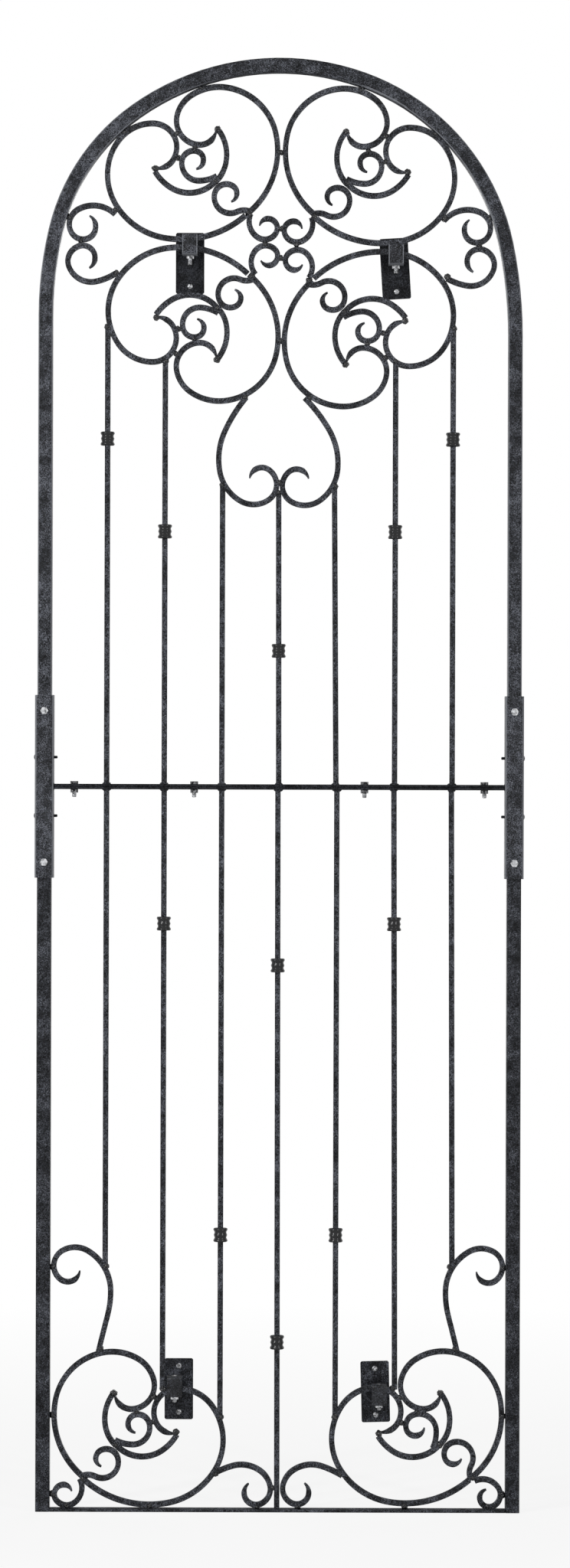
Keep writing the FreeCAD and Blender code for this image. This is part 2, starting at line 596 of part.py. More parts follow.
def make_collars():
    turned = collar_profile().revolve(Vec(0, 0, 0), UP, 360)
    out = []
    for datum, place, height in COLLARS:
        z = DATUM[datum] + height * UNIT
        half = "upper" if z > SPLIT_HEIGHT else "lower"
        for i in range(BARS_PER_HALF):
            if bar_from_outside(i) != place:
                continue
            bar = parts[half + "_bars"][i]
            held = largest(bar.common(box(PANEL_WIDTH, TUBE, COLLAR_HEIGHT, low_z=z - COLLAR_HEIGHT / 2)))
            out.append(moved(turned, Vec(held.CenterOfMass.x, 0, z)).cut(bar))
    parts["collars"] = out


def weld_bead(x, z, radius):
    """Core as thick as the bars, with a low dome at the front and at the back."""
    face_y = BAR / 2
    dome_r = radius - BEAD_SHOULDER
    bend_r = (dome_r ** 2 + BEAD_DOME ** 2) / (2 * BEAD_DOME)
    half_r = dome_r / 2
    half_y = face_y + BEAD_DOME - bend_r + math.sqrt(bend_r ** 2 - half_r ** 2)
    profile = ((dome_r, -face_y), (radius, -face_y), (radius, face_y), (dome_r, face_y))
    corners = [Vec(r, y, 0) for r, y in profile]
    top, bottom = Vec(0, face_y + BEAD_DOME, 0), Vec(0, -face_y - BEAD_DOME, 0)
    edges = [Part.LineSegment(a, b).toShape() for a, b in zip(corners, corners[1:])]
    edges.append(Part.Arc(corners[-1], Vec(half_r, half_y, 0), top).toShape())
    edges.append(Part.LineSegment(top, bottom).toShape())
    edges.append(Part.Arc(bottom, Vec(half_r, -half_y, 0), corners[0]).toShape())
    outline = Part.Face(Part.Wire(Part.__sortEdges__(edges)))
    return moved(outline.revolve(Vec(0, 0, 0), FRONT_AXIS, 360), Vec(x, 0, z))


def make_beads(placed_bars):
    places = []
    for motif in MOTIFS.values():
        for radius, spots in ((BEAD_R, MOTIF_BEADS), (SMALL_BEAD_R, MOTIF_SMALL_BEADS)):
            for x, z in spots:
                centre = placed(((x, z), 0, []), motif, turn=motif["turn"])[0]
                places.append((centre[0], centre[1], radius))
    sizes = ((BEAD_R, BEADS, LONE_BEADS), (SMALL_BEAD_R, SMALL_BEADS, LONE_SMALL_BEADS))
    for radius, both_sides, lone in sizes:
        mirror_images = [(datum, -x, z) for datum, x, z in both_sides if x != 0]
        for datum, x, z in both_sides + mirror_images + lone:
            places.append((x * UNIT, DATUM[datum] + z * UNIT, radius))
    beads = []
    for x, z, radius in places:
        bead = weld_bead(x, z, radius)
        weld = bead.cut([n for n in placed_bars + beads if near(bead, n)])
        beads += [piece for piece in weld.Solids if piece.Volume > SMALLEST_WELD]
    parts["weld_beads"] = beads


# ---- wall brackets -----------------------------------------------------------------------------
def wall_plate(x, z, roll):
    face = Part.Face(rounded_rectangle(PLATE_W, PLATE_H, PLATE_CORNER))
    plate = face.extrude(Vec(0, 0, PLATE_THICK))
    for y in (PLATE_HOLE_PITCH / 2, -PLATE_HOLE_PITCH / 2):
        plate = plate.cut(Part.makeCylinder(PLATE_HOLE_R, PLATE_THICK, Vec(0, y, 0)))
    plate.rotate(Vec(0, 0, 0), Vec(1, 0, 0), 90)
    plate.rotate(Vec(0, 0, 0), Vec(0, -1, 0), roll)
    return moved(plate, Vec(x, WALL_Y, z))


def pivot_eye(x, z, plate_x, plate_z):
    """Barrel between the clip's legs, on an arm that stands on a boss midway between the plate's screws."""
    height = CLIP_H - 2 * CLIP_THICK - 2 * BARREL_END_GAP
    bore = Part.makeCylinder(BOLT_R + BORE_GAP, height, Vec(x, PIVOT_Y, z - height / 2))
    barrel = Part.makeCylinder(BARREL_R, height, Vec(x, PIVOT_Y, z - height / 2))
    boss_y = WALL_Y - PLATE_THICK - BOSS_THICK
    boss = Part.makeCylinder(BOSS_R, BOSS_THICK, Vec(plate_x, boss_y, plate_z), FRONT_AXIS)
    low, neck_y = z - height / 2, PIVOT_Y + ARM_NECK_END
    outline = [(PIVOT_Y, low), (neck_y, low), (boss_y, plate_z - ARM_FOOT_H / 2),
               (boss_y, plate_z + ARM_FOOT_H / 2), (neck_y, low + ARM_NECK_H), (PIVOT_Y, low + ARM_NECK_H)]
    corners = [Vec(x - ARM_THICK / 2, y, height_z) for y, height_z in outline + outline[:1]]
    arm = Part.Face(Part.makePolygon(corners)).extrude(Vec(ARM_THICK, 0, 0))
    return largest(barrel.fuse([arm, boss]).cut(bore).removeSplitter())


def clip(x, z, placed_bars):
    """Strap folded round the front of a bar; its legs are notched where they meet the scrolls."""
    front = -BAR / 2 - CLIP_GAP - CLIP_THICK
    depth = PIVOT_Y + CLIP_LEG_END - front
    strap = u_profile(CLIP_H, depth, CLIP_THICK, CLIP_BEND_R).extrude(Vec(0, 0, CLIP_W))
    strap.translate(Vec(0, 0, -CLIP_W / 2))
    strap.rotate(Vec(0, 0, 0), Vec(0, 1, 0), 90)
    strap = moved(strap, Vec(x, front, z))
    return fitted(strap.cut(Part.makeCylinder(BOLT_R, 2 * CLIP_H, Vec(x, PIVOT_Y, z - CLIP_H))), placed_bars)


def make_brackets(placed_bars):
    parts["clip_bolts"] = []
    parts["clip_nuts"] = []
    for name, place in BRACKETS.items():
        x = place["x"] * UNIT
        z = DATUM[place["datum"]] + place["z"] * UNIT
        dx, dz = place["plate"]
        parts[name + "_wall_plate"] = [wall_plate(x + dx, z + dz, place["roll"])]
        parts[name + "_pivot_eye"] = [pivot_eye(x, z, x + dx, z + dz)]
        parts[name + "_clip"] = [clip(x, z, placed_bars)]
        parts["clip_bolts"].append(dome_bolt(Vec(x, PIVOT_Y, z + CLIP_H / 2), DOWN,
                                             CLIP_H + NUT_HEIGHT + place["thread"], BOLT_R,
                                             CLIP_HEAD_R, CLIP_HEAD))
        parts["clip_nuts"].append(hex_nut(Vec(x, PIVOT_Y, z - CLIP_H / 2), DOWN))


def main():
    make_frame()
    make_sleeves()
    make_fasteners()
    in_place = [arch_solid(False), post_solid(-1, False), post_solid(1, False)]
    in_place += parts["upper_cross_rail"] + parts["lower_cross_rail"] + parts["bottom_rail"]
    make_scrolls(in_place)
    make_uprights(in_place)
    make_beads(in_place)
    make_collars()
    make_brackets(in_place)
    os.makedirs("parts", exist_ok=True)
    for name, solids in parts.items():
        shape = solids[0] if len(solids) == 1 else Part.makeCompound(solids)
        shape.exportStep("parts/" + name + ".step")


main()
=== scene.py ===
import json
import math
import random

import bpy
from mathutils import Matrix, Vector, noise

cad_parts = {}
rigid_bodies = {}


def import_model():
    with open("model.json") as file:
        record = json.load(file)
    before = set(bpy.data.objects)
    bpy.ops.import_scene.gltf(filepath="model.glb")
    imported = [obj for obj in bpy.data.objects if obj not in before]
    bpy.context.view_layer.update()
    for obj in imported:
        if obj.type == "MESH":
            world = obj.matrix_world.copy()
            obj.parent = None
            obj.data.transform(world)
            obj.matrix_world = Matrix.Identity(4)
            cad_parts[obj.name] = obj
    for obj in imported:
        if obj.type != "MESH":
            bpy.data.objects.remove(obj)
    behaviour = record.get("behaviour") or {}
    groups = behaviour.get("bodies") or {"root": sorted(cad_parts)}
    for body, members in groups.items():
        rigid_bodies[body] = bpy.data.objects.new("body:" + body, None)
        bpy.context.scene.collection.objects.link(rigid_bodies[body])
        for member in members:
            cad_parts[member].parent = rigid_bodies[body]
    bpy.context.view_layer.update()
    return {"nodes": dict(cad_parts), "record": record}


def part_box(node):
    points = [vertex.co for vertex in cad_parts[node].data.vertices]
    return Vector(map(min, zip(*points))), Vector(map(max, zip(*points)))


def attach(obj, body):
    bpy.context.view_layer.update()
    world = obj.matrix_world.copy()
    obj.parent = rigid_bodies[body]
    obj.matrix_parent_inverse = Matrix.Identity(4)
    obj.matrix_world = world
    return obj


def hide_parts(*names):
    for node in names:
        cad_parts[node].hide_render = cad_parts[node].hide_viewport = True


# Looks of an arched wrought-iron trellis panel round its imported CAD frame.
# Metres, +Z up, front towards -Y. Every place comes from the frame's boxes, islands and mounts.

MM = 0.001
SEED = 41
CORNERS = ("upper_left", "upper_right", "lower_left", "lower_right")

# ---- colours, as linear values -----------------------------------------------------------------
COAT_DARK = (0.0010, 0.0011, 0.0016, 1)
COAT_MID = (0.0270, 0.0292, 0.0350, 1)
COAT_LIGHT = (0.0900, 0.0960, 0.1145, 1)
COAT_FLECK = (0.1850, 0.1960, 0.2300, 1)
# painted highlight: tone of the lamp glints on rounded corners and clip edges
HIGHLIGHT_TONE = (0.230, 0.240, 0.265, 1)
WELD_DARK = (0.0020, 0.0022, 0.0028, 1)
WELD_LIGHT = (0.0200, 0.0212, 0.0250, 1)
ZINC_DARK = (0.12, 0.122, 0.126, 1)
ZINC_LIGHT = (0.66, 0.67, 0.69, 1)
# painted reflection: the darker zinc below stands for bolts that mirror dark surroundings
SHADED_ZINC_DARK = (0.012, 0.012, 0.013, 1)
SHADED_ZINC_LIGHT = (0.34, 0.345, 0.355, 1)
FLOOR_WHITE = (0.93, 0.93, 0.93, 1)
PLAIN_WHITE = (1, 1, 1, 1)

# ---- surface patterns: noise scales, as cells to the metre, and heights of relief --------------
PATCH_SCALE = 52.0
VEIN_SCALE = 500.0
SPOT_SCALE = 640.0
FLECK_SCALE = 900.0
WELD_BROAD_SCALE = 380.0
WELD_FINE_SCALE = 1300.0
# zinc patches: partly stains, partly painted reflection
STAIN_AND_REFLECTION_SCALE = 240.0
GRAIN_SCALE = 2400.0
COAT_RELIEF = 0.13 * MM
CLIP_RELIEF = 0.05 * MM
LOW_CLIP_RELIEF = 0.08 * MM
COLLAR_RELIEF = 0.006 * MM
WELD_BROAD_RELIEF = 0.28 * MM
WELD_FINE_RELIEF = 0.04 * MM
GRAIN_RELIEF = 0.03 * MM

# ---- sizes of the scene's own pieces -----------------------------------------------------------
BIG_WELD = 10.8 * MM             # a bead wider than this makes a lump of the larger radius
LUMP_R = 4.8 * MM
SMALL_LUMP_R = 4.1 * MM
LUMP_RELIEF = 0.24
LUMP_FRONT = 5.7 * MM            # how far a lump stands out from the panel's plane
KNOB_DEPTH = 2.6 * MM            # how far the small knobs on a lump lie before and behind its middle
WELD_GROUP = 9.5 * MM            # pieces of weld nearer than this belong to one lump
FILLET_R = (6.4 * MM, 5.4 * MM, 3.0 * MM)
FILLET_RELIEF = 0.12
SCREW_HEAD_R = 4.4 * MM
SCREW_HEAD_RISE = 2.5 * MM
SCREW_RECESS = 1.5 * MM
SCREW_SHANK_R = 2.7 * MM
M6_R = 3.0 * MM
M4_R = 2.0 * MM
PITCH_M6 = 1.0 * MM
PITCH_M4 = 0.7 * MM
THREAD_CHAMFER = 0.8 * MM        # bare tip past the end of a thread
THREAD_CREST = 0.13 * MM         # height of a thread's crest over the plain shank
HEAD_ROUND = 1.0 * MM            # worn corners of the sleeves' front bolt heads
RAIL_ROUND = 1.1 * MM            # rolled edges of the flat rails, which leave a groove between the two
COLLAR_ROUND = 0.6 * MM
PLATE_ROUND = 0.35 * MM
CLIP_ROUND = 0.5 * MM
SLEEVE_ROUND = 0.4 * MM          # the bottom rail's too
NUT_ROUND = 0.5 * MM
JOIN_GAP = 0.01 * MM             # corners of the import nearer than this are one
SHARP_ANGLE = math.radians(35)   # an edge that turns more than this is rounded

# ---- floor -------------------------------------------------------------------------------------
FLOOR_HALF = 4.0
FLOOR_GLOW = 0.87                # share of the floor that shows as plain white; the rest keeps the shadow
FLOOR_FADE = (0.5, 2.6)          # over this distance from the middle the floor goes to plain white

# ---- camera ------------------------------------------------------------------------------------
FRAME_HEIGHT_PX = 2048
MM_PER_PX = 1.1228               # at the panel's front face
CAMERA_DISTANCE = 6.5
CAMERA_X = 8.3 * MM
CAMERA_Z = 1.0685
CAMERA_ROLL = math.radians(0.17)
SENSOR = 36.0

# ---- light, set so that a surface facing the camera shows its colour about as written ----------
AMBIENT = 0.11                   # world's strength for all but camera, glossy and transmission rays
LAMPS = (                        # name, place, target, width, height, watts
    ("key", (-1.3, -2.1, 2.3), (0, 0, 1.65), 0.5, 0.5, 10),
    ("left_strip", (-1.85, -1.85, 1.65), (0, 0, 1.65), 0.22, 2.1, 36),
    ("right_strip", (1.7, -2.0, 1.65), (0, 0, 1.65), 0.22, 2.1, 24),
    ("back", (0.4, 2.4, 2.6), (0, 0, 1.1), 1.6, 1.2, 12),
)

for old in list(bpy.data.objects):
    bpy.data.objects.remove(old)
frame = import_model()
nodes = frame["nodes"]
mounts = {m["name"]: m for m in frame["record"]["mounts"]}


# ---- materials ---------------------------------------------------------------------------------
def new_material(name):
    material = bpy.data.materials.new(name)
    material.use_nodes = True
    tree = material.node_tree
    tree.nodes.clear()
    out = tree.nodes.new("ShaderNodeOutputMaterial")
    shader = tree.nodes.new("ShaderNodeBsdfPrincipled")
    tree.links.new(shader.outputs["BSDF"], out.inputs["Surface"])
    return material, tree, shader


def noise_node(tree, where, scale, detail, roughness=0.5, distortion=0.0):
    node = tree.nodes.new("ShaderNodeTexNoise")
    node.inputs["Scale"].default_value = scale
    node.inputs["Detail"].default_value = detail
    node.inputs["Roughness"].default_value = roughness
    node.inputs["Distortion"].default_value = distortion
    tree.links.new(where, node.inputs["Vector"])
    return node.outputs["Fac"]


def math_node(tree, operation, a, b=None):
    node = tree.nodes.new("ShaderNodeMath")
    node.operation = operation
    for socket, value in ((node.inputs[0], a), (node.inputs[1], b)):
        if isinstance(value, (int, float)):
            socket.default_value = value
        elif value is not None:
            tree.links.new(value, socket)
    return node.outputs[0]


def ramp_node(tree, value, stops):
    node = tree.nodes.new("ShaderNodeValToRGB")
    ramp = node.color_ramp
    while len(ramp.elements) < len(stops):
        ramp.elements.new(0.5)
    for element, (position, colour) in zip(ramp.elements, stops):
        element.position = position
        element.color = colour
    tree.links.new(value, node.inputs["Fac"])
    return node.outputs["Color"]


def spread(tree, value, low, high, to_low=0.0, to_high=1.0):
    """Maps low to to_low and high to to_high, evenly between them and held beyond."""
    node = tree.nodes.new("ShaderNodeMapRange")
    for name, number in (("From Min", low), ("From Max", high), ("To Min", to_low), ("To Max", to_high)):
        node.inputs[name].default_value = number
    tree.links.new(value, node.inputs["Value"])
    return node.outputs["Result"]


def bump_node(tree, height, distance, strength, under=None):
    node = tree.nodes.new("ShaderNodeBump")
    node.inputs["Distance"].default_value = distance
    node.inputs["Strength"].default_value = strength
    tree.links.new(height, node.inputs["Height"])
    if under is not None:
        tree.links.new(under, node.inputs["Normal"])
    return node.outputs["Normal"]


def place_on(tree, kind="Object"):
    """A point's place in the object's own metres, or another of its coordinates."""
    return tree.nodes.new("ShaderNodeTexCoord").outputs[kind]


def parts_of(tree, vector):
    """The three parts of a vector, by their axis."""
    node = tree.nodes.new("ShaderNodeSeparateXYZ")
    tree.links.new(vector, node.inputs["Vector"])
    return node.outputs


def worms(tree, where, scale, distortion):
    """Thin winding lines, 0 in their middle and 1 between them, as a hammered coat has."""
    lines = noise_node(tree, where, scale, 1.5, 0.5, distortion)
    off_middle = math_node(tree, "ABSOLUTE", math_node(tree, "SUBTRACT", lines, 0.5))
    return spread(tree, off_middle, 0.0, 0.085)


def normal_parts(tree):
    """How far the surface looks along each of the object's own axes, without sign."""
    facing = parts_of(tree, place_on(tree, "Normal"))
    return [math_node(tree, "ABSOLUTE", facing[axis]) for axis in "XYZ"]


def lighten(tree, colour, amount):
    """Blends a colour towards the tone of a painted highlight."""
    mix = tree.nodes.new("ShaderNodeMix")
    mix.data_type = "RGBA"
    # a colour mix takes its factor at input 0 and its colours at 6 and 7, and gives a colour at output 2
    tree.links.new(amount, mix.inputs[0])
    tree.links.new(colour, mix.inputs[6])
    mix.inputs[7].default_value = HIGHLIGHT_TONE
    return mix.outputs[2]


def paint_corner_highlight(tree, colour, amount):
    """Painted highlight: lightens the rounded corners that stand upright, where the side lamps glint."""
    across, front = normal_parts(tree)[:2]
    off_front = spread(tree, front, 0.97, 0.86)
    off_side = spread(tree, front, 0.26, 0.42)
    upright = spread(tree, across, 0.12, 0.34, 0.0, amount)
    corner = math_node(tree, "MULTIPLY", off_front, off_side)
    return lighten(tree, colour, math_node(tree, "MULTIPLY", corner, upright))


def paint_rim_highlight(tree, colour):
    """Painted highlight: lightens the two long edges and the lower edge of a clip's strip, where the lamps
    glint.
    """
    share = parts_of(tree, place_on(tree, "Generated"))
    off_middle = math_node(tree, "ABSOLUTE", math_node(tree, "SUBTRACT", share["X"], 0.5))
    long_edges = spread(tree, off_middle, 0.43, 0.455, 0.0, 0.75)
    lower_edge = spread(tree, share["Z"], 0.055, 0.035, 0.0, 0.5)
    return lighten(tree, colour, math_node(tree, "MAXIMUM", long_edges, lower_edge))


def hammered_coat(name, roughness, specular, lightness=1.0, height=COAT_RELIEF, corner_highlight=0.0, rim=False):
    """Grey ground in soft lighter and darker patches, crossed by fine black worms and spots.

    lightness scales the ground's tone; the last two arguments paint highlights on upright corners and along
    a clip's edges.
    """
    material, tree, shader = new_material(name)
    where = place_on(tree)
    patches = noise_node(tree, where, PATCH_SCALE, 3.0, 0.62, 0.3)
    crowding = spread(tree, patches, 0.32, 0.66, -0.30, 0.22)
    veins = worms(tree, where, VEIN_SCALE, 1.3)
    spots = spread(tree, noise_node(tree, where, SPOT_SCALE, 1.0, 0.5, 0.5), 0.38, 0.53)
    veins_here = math_node(tree, "ADD", veins, crowding)
    spots_here = math_node(tree, "ADD", spots, crowding)
    relief = spread(tree, math_node(tree, "MINIMUM", veins_here, spots_here), 0.0, 1.0)
    broad_tone = spread(tree, patches, 0.30, 0.70, 0.72 * lightness, 1.00 * lightness)
    fleck_tone = spread(tree, noise_node(tree, where, FLECK_SCALE, 1.0), 0.35, 0.65, -0.20, 0.20)
    tone = math_node(tree, "MULTIPLY", relief, math_node(tree, "ADD", broad_tone, fleck_tone))
    stops = [(0.0, COAT_DARK), (0.42, COAT_MID), (0.80, COAT_LIGHT), (1.0, COAT_FLECK)]
    colour = ramp_node(tree, tone, stops)
    # painted highlight on the upright rounded corners
    if corner_highlight:
        colour = paint_corner_highlight(tree, colour, corner_highlight)
    # painted highlight along a clip's edges
    if rim:
        colour = paint_rim_highlight(tree, colour)
    tree.links.new(colour, shader.inputs["Base Color"])
    gloss = spread(tree, relief, 0.0, 1.0, roughness + 0.10, roughness)
    # faces that look up or down took only dry spray
    dry = spread(tree, normal_parts(tree)[2], 0.45, 0.85, 0.0, 0.60)
    tree.links.new(math_node(tree, "ADD", gloss, dry), shader.inputs["Roughness"])
    tree.links.new(bump_node(tree, relief, height, 0.8), shader.inputs["Normal"])
    shader.inputs["Specular IOR Level"].default_value = specular
    return material


def weld_coat():
    """Near-black glossy coat over a weld's coarse and fine knobs."""
    material, tree, shader = new_material("weld_look")
    where = place_on(tree)
    broad = noise_node(tree, where, WELD_BROAD_SCALE, 3.0, 0.55, 0.6)
    fine = noise_node(tree, where, WELD_FINE_SCALE, 2.0, 0.6)
    colour = ramp_node(tree, broad, [(0.40, WELD_DARK), (0.66, WELD_LIGHT)])
    tree.links.new(colour, shader.inputs["Base Color"])
    tree.links.new(spread(tree, fine, 0.3, 0.7, 0.06, 0.16), shader.inputs["Roughness"])
    under = bump_node(tree, broad, WELD_BROAD_RELIEF, 0.8)
    tree.links.new(bump_node(tree, fine, WELD_FINE_RELIEF, 0.6, under), shader.inputs["Normal"])
    shader.inputs["Specular IOR Level"].default_value = 0.42
    return material


def zinc_plate(name, dark, light, low, high):
    """Plated steel between two tones, whose patches, partly stains and partly painted reflections, cover
    more or less of it as low and high say.
    """
    material, tree, shader = new_material(name)
    where = place_on(tree)
    clouds = noise_node(tree, where, STAIN_AND_REFLECTION_SCALE, 4.0, 0.6, 0.3)
    grain = noise_node(tree, where, GRAIN_SCALE, 2.0, 0.6)
    tree.links.new(ramp_node(tree, clouds, [(low, dark), (high, light)]), shader.inputs["Base Color"])
    tree.links.new(spread(tree, clouds, 0.3, 0.7, 0.44, 0.24), shader.inputs["Roughness"])
    tree.links.new(bump_node(tree, grain, GRAIN_RELIEF, 0.5), shader.inputs["Normal"])
    shader.inputs["Metallic"].default_value = 1.0
    return material


COAT = hammered_coat("coat_look", 0.20, 0.14)
# painted highlights on the tube's upright corners
TUBE_COAT = hammered_coat("tube_coat_look", 0.20, 0.14, corner_highlight=0.8)
# painted shade: the lower posts take a darker copy of the coat, as less light falls low on the panel
SHADED_POST_COAT = hammered_coat("shaded_post_coat_look", 0.22, 0.12, lightness=0.86)
# painted highlights on the sleeves' upright corners
SLEEVE_COAT = hammered_coat("sleeve_coat_look", 0.20, 0.16, lightness=1.08, corner_highlight=0.8)
DARK_COAT = hammered_coat("dark_coat_look", 0.26, 0.09, lightness=0.54)
PLATE_COAT = hammered_coat("plate_coat_look", 0.24, 0.12)
# painted highlights along the upper clips' edges
CLIP_COAT = hammered_coat("clip_coat_look", 0.12, 0.24, height=CLIP_RELIEF, rim=True)
LOW_CLIP_COAT = hammered_coat("low_clip_coat_look", 0.12, 0.24, lightness=0.66, height=LOW_CLIP_RELIEF)
COLLAR_COAT = hammered_coat("collar_coat_look", 0.09, 0.38, lightness=0.12, height=COLLAR_RELIEF)
WELD = weld_coat()
ZINC = zinc_plate("zinc_look", ZINC_DARK, ZINC_LIGHT, 0.34, 0.58)
# painted reflection: darker zinc for bolts and nuts that mirror dark surroundings
SHADED_ZINC = zinc_plate("shaded_zinc_look", SHADED_ZINC_DARK, SHADED_ZINC_LIGHT, 0.44, 0.68)
# partly painted reflection: its dark end is the darker zinc's
CLIP_ZINC = zinc_plate("clip_zinc_look", SHADED_ZINC_DARK, ZINC_LIGHT, 0.36, 0.62)
LOOKS = {"hammered_coat": COAT, "weld": WELD, "zinc": ZINC}
OWN_LOOKS = {"arch_frame": TUBE_COAT, "left_post": SHADED_POST_COAT, "right_post": SHADED_POST_COAT,
             "left_sleeve": SLEEVE_COAT, "right_sleeve": SLEEVE_COAT,
             "collars": COLLAR_COAT, "rail_bolts": SHADED_ZINC, "rail_nuts": SHADED_ZINC,
             "clip_bolts": SHADED_ZINC, "clip_nuts": CLIP_ZINC, "sleeve_screws": DARK_COAT,
             "upper_cross_rail": DARK_COAT, "lower_cross_rail": DARK_COAT}
for corner in CORNERS:
    OWN_LOOKS[corner + "_wall_plate"] = DARK_COAT if corner.startswith("upper") else PLATE_COAT
    OWN_LOOKS[corner + "_pivot_eye"] = DARK_COAT
    OWN_LOOKS[corner + "_clip"] = CLIP_COAT if corner.startswith("upper") else LOW_CLIP_COAT
for name, node in nodes.items():
    for slot in node.material_slots:
        slot.material = OWN_LOOKS.get(name, LOOKS[slot.material.name])


# ---- rounded edges on the carried-over parts ---------------------------------------------------
def round_edges(name, width, segments=2):
    """Rounds the sharp edges of a CAD part in its looks alone; the weld joins the import's split corners."""
    node = nodes[name]
    weld = node.modifiers.new("join_corners", "WELD")
    weld.merge_threshold = JOIN_GAP
    bevel = node.modifiers.new("round_edges", "BEVEL")
    bevel.width = width
    bevel.segments = segments
    bevel.limit_method = "ANGLE"
    bevel.angle_limit = SHARP_ANGLE
    bevel.harden_normals = True


for corner in CORNERS:
    round_edges(corner + "_wall_plate", PLATE_ROUND)
    round_edges(corner + "_clip", CLIP_ROUND)
for name in ("left_sleeve", "right_sleeve", "bottom_rail"):
    round_edges(name, SLEEVE_ROUND)
for name in ("upper_cross_rail", "lower_cross_rail"):
    round_edges(name, RAIL_ROUND, 3)
for name in ("sleeve_nuts", "rail_bolts", "rail_nuts", "clip_nuts"):
    round_edges(name, NUT_ROUND)
round_edges("sleeve_bolts", HEAD_ROUND, 3)
round_edges("collars", COLLAR_ROUND, 3)


# ---- helpers for pieces ------------------------------------------------------------------------
def add_piece(name, verts, faces, slot, body, look=None):
    """Makes a smooth piece that rides on a body; look is its material where the slot's own isn't."""
    mesh = bpy.data.meshes.new(name)
    mesh.from_pydata(verts, [], faces)
    mesh.update()
    mesh.polygons.foreach_set("use_smooth", [True] * len(mesh.polygons))
    mesh.materials.append(look or LOOKS[slot])
    piece = bpy.data.objects.new(name, mesh)
    bpy.context.scene.collection.objects.link(piece)
    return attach(piece, body)


def islands(name):
    """Boxes (low, high) of a CAD node's separate solids, joined where their vertices meet."""
    mesh = nodes[name].data
    at = {}
    owner = []
    for vertex in mesh.vertices:
        key = tuple(round(c, 6) for c in vertex.co)
        owner.append(at.setdefault(key, len(at)))
    parent = list(range(len(at)))

    def root(i):
        while parent[i] != i:
            parent[i] = parent[parent[i]]
            i = parent[i]
        return i

    for edge in mesh.edges:
        a, b = root(owner[edge.vertices[0]]), root(owner[edge.vertices[1]])
        parent[a] = b
    boxes = {}
    for key, i in at.items():
        point = Vector(key)
        low, high = boxes.setdefault(root(i), (point.copy(), point.copy()))
        for axis in range(3):
            low[axis] = min(low[axis], point[axis])
            high[axis] = max(high[axis], point[axis])
    return sorted(boxes.values(), key=lambda box: (round(box[0].z, 4), round(box[0].x, 4)))


def sphere_mesh(rings=20, segments=28):
    """Unit sphere with its poles on the Y axis, as directions and faces."""
    verts = [Vector((0, -1, 0))]
    for i in range(1, rings):
        a = math.pi * i / rings
        for j in range(segments):
            b = 2 * math.pi * j / segments
            verts.append(Vector((math.sin(a) * math.cos(b), -math.cos(a), math.sin(a) * math.sin(b))))
    verts.append(Vector((0, 1, 0)))
    faces = [(0, 1 + (j + 1) % segments, 1 + j) for j in range(segments)]
    for i in range(rings - 2):
        for j in range(segments):
            a, b = 1 + i * segments + j, 1 + i * segments + (j + 1) % segments
            faces.append((a, b, b + segments, a + segments))
    last = len(verts) - 1
    faces += [(last, last - segments + j, last - segments + (j + 1) % segments) for j in range(segments)]
    return verts, faces


SPHERE = sphere_mesh()


def lump(verts, faces, centre, radii, relief, seed):
    """Adds a knobbly ellipsoid to a list of vertices and faces."""
    directions, sphere_faces = SPHERE
    start = len(verts)
    shift = Vector((seed * 3.7, seed * 1.9, seed * 5.3))
    for d in directions:
        # coarse knobs and fine ones under half as high, from another part of the noise for each seed
        knobs = noise.noise(d * 1.7 + shift) + 0.45 * noise.noise(d * 4.1 + shift)
        grow = 1.0 + relief * knobs
        verts.append(tuple(centre[k] + d[k] * radii[k] * grow for k in range(3)))
    faces += [tuple(start + i for i in face) for face in sphere_faces]


# ---- welds -------------------------------------------------------------------------------------
def weld_groups():
    """Box and middle of each bead, whose pieces lie between the bars."""
    groups = []
    for low, high in islands("weld_beads"):
        middle = (low + high) / 2
        for group in groups:
            if (group["middle"] - middle).length < WELD_GROUP:
                group["low"] = Vector(map(min, group["low"], low))
                group["high"] = Vector(map(max, group["high"], high))
                group["middle"] = (group["low"] + group["high"]) / 2
                break
        else:
            groups.append(dict(low=low.copy(), high=high.copy(), middle=middle))
    return groups


def make_welds():
    """A lump with three small knobs in place of each CAD bead."""
    dice = random.Random(SEED)
    verts, faces = [], []
    for i, group in enumerate(weld_groups()):
        size = group["high"] - group["low"]
        radius = LUMP_R if max(size.x, size.z) > BIG_WELD else SMALL_LUMP_R
        centre = Vector((group["middle"].x, 0, group["middle"].z))
        radii = (radius, LUMP_FRONT * dice.uniform(0.94, 1.02), radius)
        lump(verts, faces, centre, radii, LUMP_RELIEF, i)
        for k in range(3):
            turn = dice.uniform(0, 2 * math.pi)
            off = radius * dice.uniform(0.45, 0.7)
            side = 1 if k % 2 else -1
            place = centre + Vector((off * math.cos(turn), side * KNOB_DEPTH, off * math.sin(turn)))
            small = radius * dice.uniform(0.42, 0.6)
            lump(verts, faces, place, (small, small, small), LUMP_RELIEF, i + 200 * (k + 1))
    welds = add_piece("weld_lumps", verts, faces, "weld", "panel")
    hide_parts("weld_beads")


